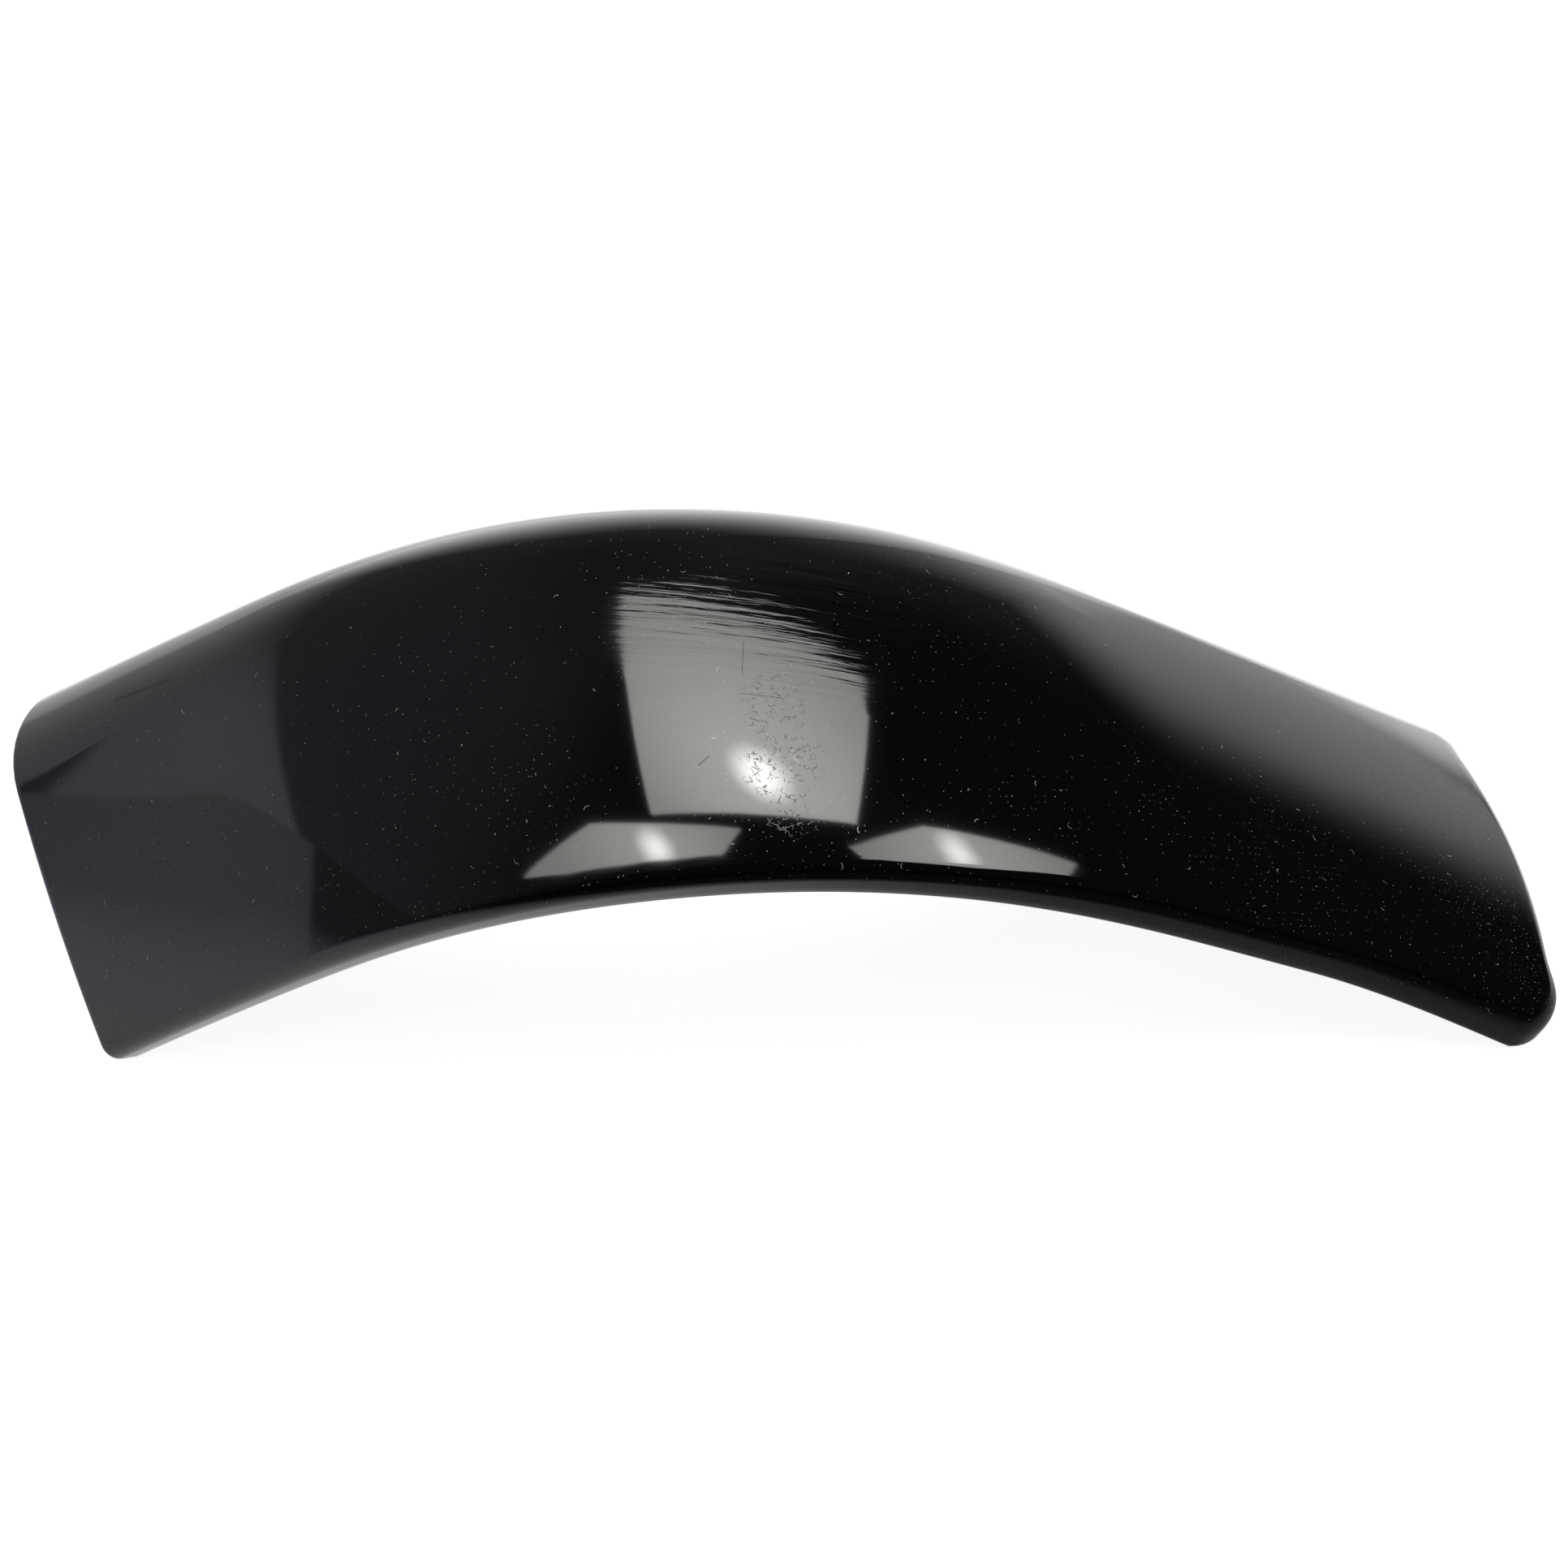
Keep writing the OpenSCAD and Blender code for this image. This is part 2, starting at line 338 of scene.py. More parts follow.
# %% Bend the blank and stand it on its three corners
flat = {v: v.co.copy() for v in blank.verts}
for v in blank.verts:
    v.co = bent(v.co)
OPEN_REACH, CORNER_REACH = 3, 30
STAND_ROUNDS = 8
corners = [
    [v.co for v, q in flat.items() if q.x < OPEN_REACH and q.y < 0],
    [v.co for v, q in flat.items() if q.x > lane_ends[0] - CORNER_REACH and q.y < -CORNER_REACH],
    [v.co for v, q in flat.items() if q.x > lane_ends[-1] - CORNER_REACH and q.y > 0]]
up = Vector((0, 0, 1))
for again in range(STAND_ROUNDS):
    feet = [min(corner, key=lambda p: p.dot(up)) for corner in corners]
    up = (feet[1] - feet[0]).cross(feet[2] - feet[0]).normalized()
forward = (feet[1] - feet[0]).normalized()
stand = Matrix((forward, up.cross(forward), up))
for v in blank.verts:
    v.co = stand @ v.co
low = [min(v.co[a] for v in blank.verts) for a in range(3)]
high = [max(v.co[a] for v in blank.verts) for a in range(3)]
base = Vector(((low[0] + high[0]) / 2, (low[1] + high[1]) / 2, low[2]))
for v in blank.verts:
    v.co = (v.co - base) * mm
print("bent box", [round(high[a] - low[a], 2) for a in range(3)], "mm")

# %% Make it the moulding's own piece
for face in blank.faces:
    face.smooth = True
mesh = bpy.data.meshes.new("moulding")
blank.to_mesh(mesh)
blank.free()
moulding = bpy.data.objects.new("moulding", mesh)
bpy.context.scene.collection.objects.link(moulding)
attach(moulding, "root")
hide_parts("cover")
print("moulding", len(mesh.polygons), "faces")

# %% [markdown]
# ## Gloss, dust and wear
#
# A painted picture of the dirt would slide off at the first change of size. Every mark here is
# worked out from the place on the blank in millimetres instead, so a fleck keeps its real size
# and a brushed streak follows the bend. Each kind of mark is a node group with named inputs, as a
# maker would keep it on a shelf.


# %% Helpers for node trees: links and sums
def link(tree, source, socket):
    if hasattr(source, "is_output"):
        tree.links.new(source, socket)
    else:
        socket.default_value = source


def math_node(tree, operation, *values):
    made = tree.nodes.new("ShaderNodeMath")
    made.operation = operation
    for k, value in enumerate(values):
        link(tree, value, made.inputs[k])
    return made.outputs[0]


def step_node(tree, value, start, end, low=0.0, high=1.0):
    made = tree.nodes.new("ShaderNodeMapRange")
    made.interpolation_type = "SMOOTHSTEP"
    for name, part in (("Value", value), ("From Min", start), ("From Max", end),
                       ("To Min", low), ("To Max", high)):
        link(tree, part, made.inputs[name])
    return made.outputs[0]


def degrees_node(tree, value):
    return math_node(tree, "MULTIPLY", value, 180 / math.pi)


# %% Helpers for vectors, colours and noise
def vector_node(tree, operation, *values, output=0):
    made = tree.nodes.new("ShaderNodeVectorMath")
    made.operation = operation
    for k, value in enumerate(values):
        link(tree, value, made.inputs[k])
    return made.outputs[output]


def colour_node(tree, share, low, high):
    made = tree.nodes.new("ShaderNodeMix")
    made.data_type = "RGBA"
    for socket, value in zip((made.inputs[0], made.inputs[6], made.inputs[7]), (share, low, high)):
        link(tree, value, socket)
    return made.outputs[2]


def axis_nodes(tree, vector):
    made = tree.nodes.new("ShaderNodeSeparateXYZ")
    tree.links.new(vector, made.inputs[0])
    return made.outputs


def vector_of(tree, x, y, z=0.0):
    made = tree.nodes.new("ShaderNodeCombineXYZ")
    for k, value in enumerate((x, y, z)):
        link(tree, value, made.inputs[k])
    return made.outputs[0]


def noise_node(tree, place, scale, detail=2.0):
    made = tree.nodes.new("ShaderNodeTexNoise")
    made.noise_dimensions = "2D"
    for name, value in (("Vector", place), ("Scale", scale), ("Detail", detail)):
        link(tree, value, made.inputs[name])
    return made.outputs[0]


# %% Node groups: build one, place one
def new_group(name, inputs, outputs):
    tree = bpy.data.node_groups.new(name, "ShaderNodeTree")
    for label, kind in inputs:
        tree.interface.new_socket(label, in_out="INPUT", socket_type="NodeSocket" + kind)
    for label, kind in outputs:
        tree.interface.new_socket(label, in_out="OUTPUT", socket_type="NodeSocket" + kind)
    return tree, tree.nodes.new("NodeGroupInput").outputs, tree.nodes.new("NodeGroupOutput").inputs


def use_group(tree, group, **values):
    made = tree.nodes.new("ShaderNodeGroup")
    made.node_tree = group
    for name, value in values.items():
        link(tree, value, made.inputs[name])
    return made.outputs


# %% Flecks: at most one curved fibre or grain in each cell, at its own angle and length
SMALLEST, SIZE_SPREAD = 0.35, 1.1
FLECK_CORE, FLECK_RIM = 0.7, 1.15
TONE_SHUFFLE = 57
flecks, given, result = new_group(
    "flecks", (("Place", "Vector"), ("Cell", "Float"), ("Length", "Float"), ("Width", "Float"),
               ("Share", "Float"), ("Bend", "Float")), (("Mask", "Float"), ("Tone", "Float")))
cells = flecks.nodes.new("ShaderNodeTexVoronoi")
cells.voronoi_dimensions = "2D"
cells.inputs["Scale"].default_value = 1
cell_size = vector_of(flecks, *[given["Cell"]] * 3)
scaled = vector_node(flecks, "DIVIDE", given["Place"], cell_size)
link(flecks, scaled, cells.inputs["Vector"])
chance = flecks.nodes.new("ShaderNodeSeparateColor")
link(flecks, cells.outputs["Color"], chance.inputs[0])
off_middle = vector_node(flecks, "SUBTRACT", scaled, cells.outputs["Position"])
turned = flecks.nodes.new("ShaderNodeVectorRotate")
turned.rotation_type = "Z_AXIS"
link(flecks, vector_node(flecks, "MULTIPLY", off_middle, cell_size), turned.inputs["Vector"])
link(flecks, math_node(flecks, "MULTIPLY", chance.outputs[0], 2 * math.pi), turned.inputs["Angle"])
lengthwise, crosswise = axis_nodes(flecks, turned.outputs[0])[:2]
size = math_node(flecks, "MULTIPLY_ADD", chance.outputs[2], SIZE_SPREAD, SMALLEST)
half = math_node(flecks, "MULTIPLY", math_node(flecks, "MULTIPLY", given["Length"], 0.5), size)
bow = math_node(flecks, "DIVIDE", math_node(flecks, "MULTIPLY", lengthwise, lengthwise), half)
against = math_node(flecks, "MULTIPLY", given["Bend"], -1)
from_line = math_node(flecks, "MULTIPLY_ADD", bow, against, crosswise)
along_it = math_node(flecks, "DIVIDE", math_node(flecks, "ABSOLUTE", lengthwise), half)
across_it = math_node(flecks, "DIVIDE", math_node(flecks, "ABSOLUTE", from_line),
                      math_node(flecks, "MULTIPLY", given["Width"], 0.5))
out_of_it = math_node(flecks, "MAXIMUM", along_it, across_it)
shape = step_node(flecks, out_of_it, FLECK_CORE, FLECK_RIM, 1, 0)
there = math_node(flecks, "LESS_THAN", chance.outputs[1], given["Share"])
link(flecks, math_node(flecks, "MULTIPLY", shape, there), result["Mask"])
shuffled = math_node(flecks, "MULTIPLY", chance.outputs[1], TONE_SHUFFLE)
link(flecks, math_node(flecks, "FRACT", shuffled), result["Tone"])
print("flecks", len(flecks.nodes), "nodes")

# %% Dust: fine grains, coarse grains and fibres, more of them in some patches
PATCHES = (0.35, 0.7, 0.45, 1.6)
PATCH_SCALE = 0.035
FAINTEST, TONE_SPREAD = 0.15, 0.65
# Each layer has a cell, a length, a width, a share of filled cells, a bend and a shift of its own.
DUST_LAYERS = ((1.1, 0.12, 0.10, 0.20, 0.0, 0),
               (2.7, 0.23, 0.12, 0.09, 0.1, 31),
               (6.0, 0.80, 0.08, 0.24, 0.5, 67))
dust, given, result = new_group(
    "dust", (("Place", "Vector"), ("Amount", "Float")), (("Mask", "Float"),))
drift_of_dust = step_node(dust, noise_node(dust, given["Place"], PATCH_SCALE, 1), *PATCHES)
amount = math_node(dust, "MULTIPLY", given["Amount"], drift_of_dust)
total = 0.0
for cell, length, width, share, bend, shift in DUST_LAYERS:
    place = vector_node(dust, "ADD", given["Place"], (shift, shift, 0))
    grain = use_group(dust, flecks, Place=place, Cell=cell, Length=length, Width=width,
                      Share=math_node(dust, "MULTIPLY", amount, share), Bend=bend)
    strength = math_node(dust, "MULTIPLY_ADD", grain["Tone"], TONE_SPREAD, FAINTEST)
    total = math_node(dust, "MAXIMUM", total, math_node(dust, "MULTIPLY", grain["Mask"], strength))
link(dust, total, result["Mask"])
print("dust", len(DUST_LAYERS), "layers")

# %% Patch: an oval on the blank that fades at its rim
PATCH_CORE = 0.45
patch, given, result = new_group(
    "patch", (("Place", "Vector"), ("Middle", "Vector"), ("Reach", "Vector")), (("Mask", "Float"),))
from_middle = vector_node(patch, "SUBTRACT", given["Place"], given["Middle"])
in_reaches = vector_node(patch, "DIVIDE", from_middle, given["Reach"])
share = vector_node(patch, "LENGTH", in_reaches, output=1)
link(patch, step_node(patch, share, PATCH_CORE, 1, 1, 0), result["Mask"])
print("patch", len(patch.nodes), "nodes")

# %% Scratch: a straight mark from one place to another
SCRATCH_CORE, SCRATCH_RIM = 0.5, 1.2
scratch, given, result = new_group(
    "scratch", (("Place", "Vector"), ("Start", "Vector"), ("End", "Vector"), ("Width", "Float")),
    (("Mask", "Float"),))
run = vector_node(scratch, "SUBTRACT", given["End"], given["Start"])
reach = vector_node(scratch, "SUBTRACT", given["Place"], given["Start"])
part = math_node(scratch, "DIVIDE", vector_node(scratch, "DOT_PRODUCT", reach, run, output=1),
                 vector_node(scratch, "DOT_PRODUCT", run, run, output=1))
part = math_node(scratch, "MINIMUM", math_node(scratch, "MAXIMUM", part, 0.0), 1.0)
nearest = vector_node(scratch, "MULTIPLY", run, vector_of(scratch, part, part, part))
gap = vector_node(scratch, "LENGTH", vector_node(scratch, "SUBTRACT", reach, nearest), output=1)
in_halves = math_node(scratch, "DIVIDE", gap, math_node(scratch, "MULTIPLY", given["Width"], 0.5))
link(scratch, step_node(scratch, in_halves, SCRATCH_CORE, SCRATCH_RIM, 1, 0), result["Mask"])
print("scratch", len(scratch.nodes), "nodes")

# %% Scribble: the fine broken lines of a scuff
WOBBLE_SCALE, WOBBLE_SHIFT = 0.9, (17, 5, 0)
WOBBLE_REACH = (1.6, 1.6, 0)
LINE_CORE, LINE_RIM = 0.04, 0.11
GAP_SCALE, GAP_FROM, GAP_TO = 0.8, 0.46, 0.56
scribble, given, result = new_group("scribble", (("Place", "Vector"), ("Cell", "Float")),
                                    (("Mask", "Float"),))
elsewhere = vector_node(scribble, "ADD", given["Place"], WOBBLE_SHIFT)
wobble = vector_of(scribble, noise_node(scribble, given["Place"], WOBBLE_SCALE),
                   noise_node(scribble, elsewhere, WOBBLE_SCALE))
wobbly = vector_node(scribble, "MULTIPLY_ADD", wobble, WOBBLE_REACH, given["Place"])
mesh_of_lines = scribble.nodes.new("ShaderNodeTexVoronoi")
mesh_of_lines.voronoi_dimensions = "2D"
mesh_of_lines.feature = "DISTANCE_TO_EDGE"
mesh_of_lines.inputs["Scale"].default_value = 1
cell_size = vector_of(scribble, *[given["Cell"]] * 3)
link(scribble, vector_node(scribble, "DIVIDE", wobbly, cell_size), mesh_of_lines.inputs["Vector"])
thin = step_node(scribble, mesh_of_lines.outputs[0], LINE_CORE, LINE_RIM, 1, 0)
broken = step_node(scribble, noise_node(scribble, given["Place"], GAP_SCALE), GAP_FROM, GAP_TO)
link(scribble, math_node(scribble, "MULTIPLY", thin, broken), result["Mask"])
print("scribble", len(scribble.nodes), "nodes")

# %% [markdown]
# ## The gloss outside
#
# The mould is polished where the plastic shows, so the outside is nearly a black mirror. A coat
# over a dull base could make it, but the real plastic has no lacquer: one smooth surface is
# enough. The marks below only change how smooth, how pale or how wavy it is.

# %% Where a point lies on the blank, in millimetres
gloss = bpy.data.materials.new("gloss_black")
gloss.use_nodes = True
tree = gloss.node_tree
shader = tree.nodes["Principled BSDF"]
blank_place = tree.nodes.new("ShaderNodeUVMap")
blank_place.uv_map = "blank"
place = vector_node(tree, "MULTIPLY", blank_place.outputs[0], (1 / mm, 1 / mm, 0))
lengthwise, crosswise = axis_nodes(tree, place)[:2]
print("gloss reads the map", blank_place.uv_map)

# %% Dust lies thicker towards the nose and towards the near side
NOSE_DUST = (260, 330, 0.85, 1.9)
NEAR_DUST = (20, -45, 0.7, 1.4)
dusty = math_node(tree, "MULTIPLY", step_node(tree, lengthwise, *NOSE_DUST),
                  step_node(tree, crosswise, *NEAR_DUST))
dirt = use_group(tree, dust, Place=place, Amount=dusty)["Mask"]
print("most dust", round(NOSE_DUST[3] * NEAR_DUST[3], 2), "times the plain amount")


# %% A scuffed column across the face, and single scratches
def patches(ovals):
    total = 0.0
    for middle, reach in ovals:
        spot = use_group(tree, patch, Place=place, Middle=(*middle, 0), Reach=(*reach, 1))["Mask"]
        total = math_node(tree, "MAXIMUM", total, spot)
    return total


SCUFFS = (((158.5, -15), (7.5, 9)), ((159, -24), (9, 8)), ((158.5, -31), (4.5, 6)))
SCUFF_CELL = 1.1
SCRATCHES = (((154.2, -11.6), (160.1, -13.3), 0.22), ((154.9, -15.9), (156.1, -16.6), 0.35),
             ((146.1, -22.0), (147.8, -20.9), 0.3), ((156.1, -2.8), (154.9, -8.5), 0.2),
             ((30, 26.4), (44.5, 24.6), 1.0))
lines = use_group(tree, scribble, Place=place, Cell=SCUFF_CELL)["Mask"]
worn = math_node(tree, "MULTIPLY", patches(SCUFFS), lines)
for start, end, width in SCRATCHES:
    mark = use_group(tree, scratch, Place=place, Start=(*start, 0), End=(*end, 0), Width=width)["Mask"]
    worn = math_node(tree, "MAXIMUM", worn, mark)
print(len(SCUFFS), "scuffs,", len(SCRATCHES), "scratches")

# %% A brown smear in the scuffs, and the colour of the whole
PLASTIC, DUST, BROWN = (0.0009, 0.0009, 0.0010, 1), (0.34, 0.33, 0.31, 1), (0.05, 0.036, 0.026, 1)
SMEARS = (((158, -23.5), (5, 3.5)),)
SMEAR_SCALE, SMEAR_FROM, SMEAR_TO = 0.9, 0.45, 0.7
blotches = step_node(tree, noise_node(tree, place, SMEAR_SCALE, 3), SMEAR_FROM, SMEAR_TO)
smear = math_node(tree, "MULTIPLY", patches(SMEARS), blotches)
tone = colour_node(tree, smear, PLASTIC, BROWN)
link(tree, colour_node(tree, dirt, tone, DUST), shader.inputs["Base Color"])
print("plastic", PLASTIC[:3])

# %% Streaks that a cloth brushed along the arch
STREAKS = (((155, 4), (38, 12)), ((170, -5), (21, 13)))
WIPE_TURN = math.radians(16)
BRISTLE_STRETCH, BRISTLE_SCALE = (0.05, 1, 0), 0.55
STREAK_DEPTH = 2.8
brushed = patches(STREAKS)
wiped = tree.nodes.new("ShaderNodeVectorRotate")
wiped.rotation_type = "Z_AXIS"
wiped.inputs["Angle"].default_value = WIPE_TURN
link(tree, place, wiped.inputs["Vector"])
bristles = noise_node(tree, vector_node(tree, "MULTIPLY", wiped.outputs[0], BRISTLE_STRETCH),
                      BRISTLE_SCALE, 4)
streaks = math_node(tree, "MULTIPLY", math_node(tree, "MULTIPLY", bristles, brushed), STREAK_DEPTH)
print(len(STREAKS), "brushed patches")

# %% How rough and how wavy the gloss is
GLOSS_ROUGH, WORN_ROUGH = 0.055, 0.40
SMEAR_ROUGH, DUST_ROUGH, BRUSHED_ROUGH = 0.12, 0.5, 0.04
WAVE_SCALE, RELIEF = 0.03, 0.045
rough = math_node(tree, "MULTIPLY_ADD", worn, WORN_ROUGH, GLOSS_ROUGH)
for mask, more in ((smear, SMEAR_ROUGH), (dirt, DUST_ROUGH), (brushed, BRUSHED_ROUGH)):
    rough = math_node(tree, "MULTIPLY_ADD", mask, more, rough)
link(tree, rough, shader.inputs["Roughness"])
relief = tree.nodes.new("ShaderNodeBump")
relief.inputs["Strength"].default_value = 1
relief.inputs["Distance"].default_value = RELIEF * mm
waves = noise_node(tree, place, WAVE_SCALE, 1)
link(tree, math_node(tree, "ADD", waves, streaks), relief.inputs["Height"])
link(tree, relief.outputs[0], shader.inputs["Normal"])
print("gloss", len(tree.nodes), "nodes")

# %% [markdown]
# ## The satin inside
#
# Nobody sees the inside of such a cover once it is fitted, so its half of the mould is left as it
# comes from the cutter. It could be a rough bump, but at this size the eye takes it as a plain
# satin black, and a second material on the inner faces gives just that.

# %% Satin black inside
SATIN, SATIN_ROUGH = (0.010, 0.010, 0.011, 1), 0.42
satin = bpy.data.materials.new("satin_black")
satin.use_nodes = True
inner = satin.node_tree.nodes["Principled BSDF"]
inner.inputs["Base Color"].default_value = SATIN
inner.inputs["Roughness"].default_value = SATIN_ROUGH
mesh.materials.append(gloss)
mesh.materials.append(satin)
print("finishes", [material.name for material in mesh.materials])

# %% [markdown]
# ## The camera
#
# A long lens from a little above the part shows it as a maker's picture does. A camera can be
# aimed with a Track To constraint, but a slight roll is easier to give as three axes: right, up
# and back.

# %% Camera
AIM = Vector((3.97, -0.55, 46)) * mm
DISTANCE = 600 * mm
ELEVATION, AZIMUTH, ROLL = (math.radians(a) for a in (35.59, 5.45, -4.41))
MM_PER_PIXEL, FRAME_PIXELS = 0.1377, 1932
SENSOR = 36
back = Vector((math.sin(AZIMUTH) * math.cos(ELEVATION), -math.cos(AZIMUTH) * math.cos(ELEVATION),
               math.sin(ELEVATION)))
right = Vector((math.cos(AZIMUTH), math.sin(AZIMUTH), 0))
upward = back.cross(right)
view_right = math.cos(ROLL) * right + math.sin(ROLL) * upward
view_up = math.cos(ROLL) * upward - math.sin(ROLL) * right
camera = bpy.data.objects.new("camera", bpy.data.cameras.new("camera"))
bpy.context.scene.collection.objects.link(camera)
bpy.context.scene.camera = camera
axes = Matrix((view_right, view_up, back)).transposed()
camera.matrix_world = Matrix.Translation(AIM + back * DISTANCE) @ axes.to_4x4()
camera.data.sensor_width = SENSOR
camera.data.lens = SENSOR * DISTANCE / (MM_PER_PIXEL * mm * FRAME_PIXELS)
print("lens", round(camera.data.lens, 1), "mm")

# %% [markdown]
# ## The studio
#
# Black gloss shows almost nothing of itself, so the studio is most of the picture. A sheet lies
# under and behind the part, with a painted glow where the gloss mirrors it: bright under and
# behind the part and painted dark in front of it. The room beyond is dark too, and three soft boxes
# hang round the camera: one overhead, one at each side in front. Lamps alone could light it, but
# then the long fade along the far side would be missing: that fade is the sheet's painted glow,
# seen in the gloss at a flat angle.


# %% The sweep behind the part, as seen from it: bearing and height are in degrees
def glow(tree, bearing, height, left, right, low, high, bright, lean=0.0):
    """Radiance of a soft-edged stretch of the sweep: each edge is where its fade starts and ends."""
    leant = math_node(tree, "SUBTRACT", bearing, math_node(tree, "MULTIPLY", height, lean))
    sides = math_node(tree, "MULTIPLY", step_node(tree, leant, *left),
                      step_node(tree, bearing, *right, 1, 0))
    return math_node(tree, "MULTIPLY", sides, step_node(tree, height, low, high, bright, 0))


# Each stretch has a left edge, a right edge, a low, a high, a brightness and sometimes a lean.
STRETCHES = (((-46, -16), (12, 34), 8, 56, 2.3),
             ((-92.9, -91.3), (-40, 0), 4, 30, 0.62, 0.9),
             ((-75, -45), (-30, 0), -6, 9, 1.5),
             ((-150, -100), (10, 50), 45, 95, 0.18),
             ((-10, 10), (38, 54), 2, 17, 0.80),
             ((40, 60), (80, 110), -8, 8, 0.22))


def sweep_light(tree, bearing, height):
    total = 0.0
    for stretch in STRETCHES:
        total = math_node(tree, "MAXIMUM", total, glow(tree, bearing, height, *stretch))
    return total


print("brightest stretch", max(stretch[4] for stretch in STRETCHES))

# %% A dark room round it, white where the camera looks straight at it
ROOM_DARK = 0.02
WARM, COOL = (1, 1, 0.99, 1), (0.93, 0.96, 1.14, 1)
COOL_FROM, COOL_TO = -68, -86
world = bpy.data.worlds.new("studio")
bpy.context.scene.world = world
world.use_nodes = True
room = world.node_tree
ray = axis_nodes(room, room.nodes.new("ShaderNodeTexCoord").outputs["Generated"])
bearing = degrees_node(room, math_node(room, "ARCTAN2", ray["X"], ray["Y"]))
height = degrees_node(room, math_node(room, "ARCSINE", ray["Z"]))
background = room.nodes["Background"]
is_camera = room.nodes.new("ShaderNodeLightPath").outputs["Is Camera Ray"]
around = math_node(room, "ADD", sweep_light(room, bearing, height), ROOM_DARK)
link(room, math_node(room, "MAXIMUM", around, is_camera), background.inputs["Strength"])
tint = colour_node(room, step_node(room, bearing, COOL_FROM, COOL_TO), WARM, COOL)
link(room, tint, background.inputs["Color"])
print("room", len(room.nodes), "nodes")

# %% Soft boxes, each with a hot spot where its bulb is
LAMP_DISTANCE = 2.0
CLOTH_TINT = (1, 1, 0.96, 1)
GLARE_SHARE = 0.2


def soft_box(name, corners, hot, edge, cloth, bulb, reach):
    """Corners and hot spot are places on a ceiling at height 1. Edge, cloth and bulb are radiance."""
    rays = [Vector((x, y, 1)).normalized() for x, y in corners]
    toward = sum(rays, Vector()).normalized()
    on_plane = lambda ray: ray * LAMP_DISTANCE / ray.dot(toward)
    drawing = bmesh.new()
    drawing.faces.new([drawing.verts.new(on_plane(ray)) for ray in rays])
    panel = bpy.data.meshes.new(name)
    drawing.to_mesh(panel)
    drawing.free()
    box = bpy.data.objects.new(name, panel)
    bpy.context.scene.collection.objects.link(box)
    lit = bpy.data.materials.new(name)
    lit.use_nodes = True
    tree = lit.node_tree
    tree.nodes.clear()
    here = tree.nodes.new("ShaderNodeTexCoord").outputs["Object"]
    middle = on_plane(Vector((*hot, 1)).normalized())
    away = vector_node(tree, "LENGTH", vector_node(tree, "SUBTRACT", here, middle), output=1)
    wide = step_node(tree, away, 0, reach, cloth, edge)
    glare = step_node(tree, away, 0, reach * GLARE_SHARE, bulb - cloth, 0)
    shine = tree.nodes.new("ShaderNodeEmission")
    link(tree, math_node(tree, "ADD", wide, glare), shine.inputs["Strength"])
    link(tree, CLOTH_TINT, shine.inputs["Color"])
    link(tree, shine.outputs[0], tree.nodes.new("ShaderNodeOutputMaterial").inputs["Surface"])
    panel.materials.append(lit)
    print(name, "soft box", [round(side, 2) for side in box.dimensions], "m")


soft_box("overhead", ((-0.19, 0.19), (-0.40, -0.80), (0.52, -0.56), (0.58, 0.14), (0.35, 0.23)),
         (0.145, -0.465), 5.0, 9.0, 30, 1.4)
soft_box("front_left", ((0.02, -0.77), (-0.11, -0.97), (-1.38, -1.44), (-2.05, -1.62), (-0.80, -0.92)),
         (-0.46, -1.01), 4.2, 7.0, 22, 0.9)
soft_box("front_right", ((0.49, -0.70), (0.81, -0.91), (1.60, -1.20), (1.87, -0.04), (0.83, -0.42)),
         (1.04, -0.48), 4.2, 7.0, 20, 0.9)

# %% [markdown]
# ## The sheet
#
# The part lies on a pale sheet. The camera sees plain paper with a soft shadow. What the gloss
# mirrors is a painted glow on the sheet instead, in place of the light that falls on it: bright under
# and behind the part, painted dark from a little in front of it, and further off the same light as
# the sweep, painted on, or a hard line would cross the part where the sheet meets the room.

# %% Lay the sheet
SHEET_REACH = 3
floor_mesh = bpy.data.meshes.new("floor")
drawing = bmesh.new()
bmesh.ops.create_grid(drawing, x_segments=1, y_segments=1, size=SHEET_REACH)
drawing.to_mesh(floor_mesh)
drawing.free()
floor = bpy.data.objects.new("floor", floor_mesh)
bpy.context.scene.collection.objects.link(floor)
sheet = bpy.data.materials.new("painted_glow_sheet")
sheet.use_nodes = True
tree = sheet.node_tree
tree.nodes.clear()
here = tree.nodes.new("ShaderNodeTexCoord").outputs["Object"]
place = axis_nodes(tree, here)
print("sheet", 2 * SHEET_REACH, "m wide")

# %% The painted glow the gloss mirrors: near the part, and far off
SHEET_EDGE, SHEET_SLANT, FRONT_FADE, FRONT_DARK = -0.12, 0.48, 0.08, 0.05
BEHIND = (-0.02, 0.1, 0.75, 2.0)
OPEN_END_SHIFT = (0, -0.1, 0, 0.045)
OPEN_END_DIM = (0, -0.2, 1, 0.76)
JUST_BELOW = -3.0
FAR_FROM, FAR_TO = 0.16, 0.36
# Painted light on the sheet, seen only in the gloss: a glow brighter behind the part than under it,
# painted dark in front of it, and further off the sweep's light painted on, dimmer past the open end.
slant = math_node(tree, "MULTIPLY", place["X"], SHEET_SLANT)
beyond = math_node(tree, "SUBTRACT", math_node(tree, "SUBTRACT", place["Y"], slant), SHEET_EDGE)
painted_glow_close = math_node(tree, "MULTIPLY", step_node(tree, beyond, 0, FRONT_FADE, FRONT_DARK, 1),
                     step_node(tree, place["Y"], *BEHIND))
from_open_end = math_node(tree, "ADD", place["Y"], step_node(tree, place["X"], *OPEN_END_SHIFT))
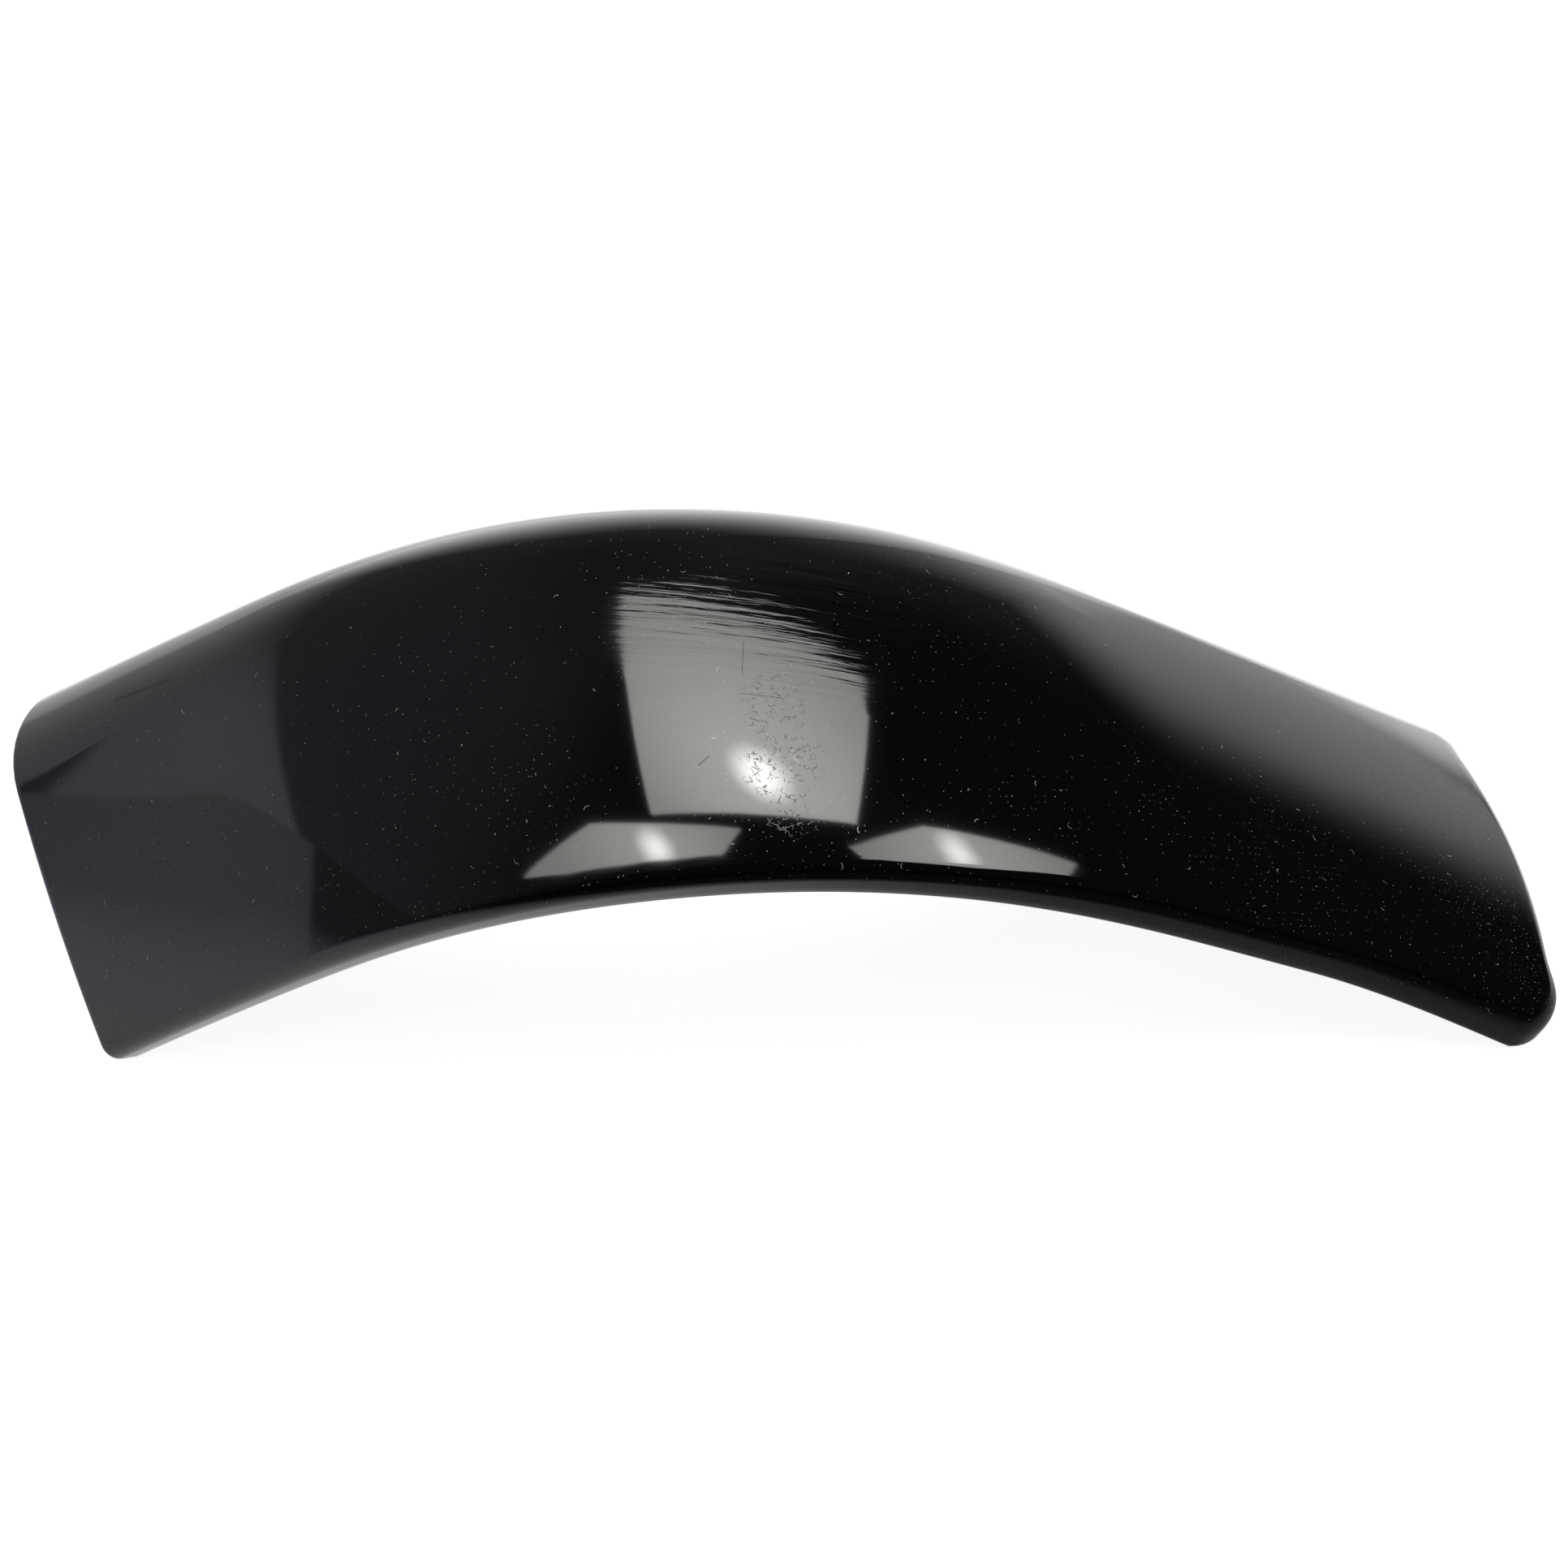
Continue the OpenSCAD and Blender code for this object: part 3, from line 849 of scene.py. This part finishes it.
floor_bearing = degrees_node(tree, math_node(tree, "ARCTAN2", place["X"], from_open_end))
painted_glow_far = math_node(tree, "MULTIPLY", sweep_light(tree, floor_bearing, JUST_BELOW),
                    step_node(tree, place["X"], *OPEN_END_DIM))
distance = step_node(tree, vector_node(tree, "LENGTH", here, output=1), FAR_FROM, FAR_TO)
further = math_node(tree, "SUBTRACT", painted_glow_far, painted_glow_close)
painted_sheet_glow = math_node(tree, "MULTIPLY_ADD", distance, further, painted_glow_close)
print("sheet is bright to", -SHEET_EDGE, "m in front of the middle")

# %% What the camera sees: pale paper that takes the shadow
PALE, PAPER = 0.9, 0.25
COOL_ACROSS, COOL_BACK = (-0.08, -0.25), (0.12, 0.02)
seen = tree.nodes.new("ShaderNodeLightPath").outputs["Is Camera Ray"]
power = tree.nodes.new("ShaderNodeMix")
for name, value in (("Factor", seen), ("A", painted_sheet_glow), ("B", PALE)):
    link(tree, value, power.inputs[name])
shine = tree.nodes.new("ShaderNodeEmission")
link(tree, power.outputs[0], shine.inputs["Strength"])
# Painted cool tint: to the left of the part, the glow that the gloss mirrors is painted bluer.
cool_side = math_node(tree, "MULTIPLY", step_node(tree, place["X"], *COOL_ACROSS),
                      step_node(tree, place["Y"], *COOL_BACK))
cool_share = math_node(tree, "MULTIPLY", cool_side, math_node(tree, "SUBTRACT", 1.0, seen))
link(tree, colour_node(tree, cool_share, WARM, COOL), shine.inputs["Color"])
paper = tree.nodes.new("ShaderNodeBsdfDiffuse")
paper_tone = math_node(tree, "MULTIPLY", seen, PAPER)
paper_colour = tree.nodes.new("ShaderNodeCombineColor")
for channel in ("Red", "Green", "Blue"):
    link(tree, paper_tone, paper_colour.inputs[channel])
link(tree, paper_colour.outputs[0], paper.inputs["Color"])
both = tree.nodes.new("ShaderNodeAddShader")
link(tree, shine.outputs[0], both.inputs[0])
link(tree, paper.outputs[0], both.inputs[1])
link(tree, both.outputs[0], tree.nodes.new("ShaderNodeOutputMaterial").inputs["Surface"])
floor_mesh.materials.append(sheet)
print("sheet", len(tree.nodes), "nodes")

# %% Finish
bpy.context.scene.view_settings.view_transform = "Standard"
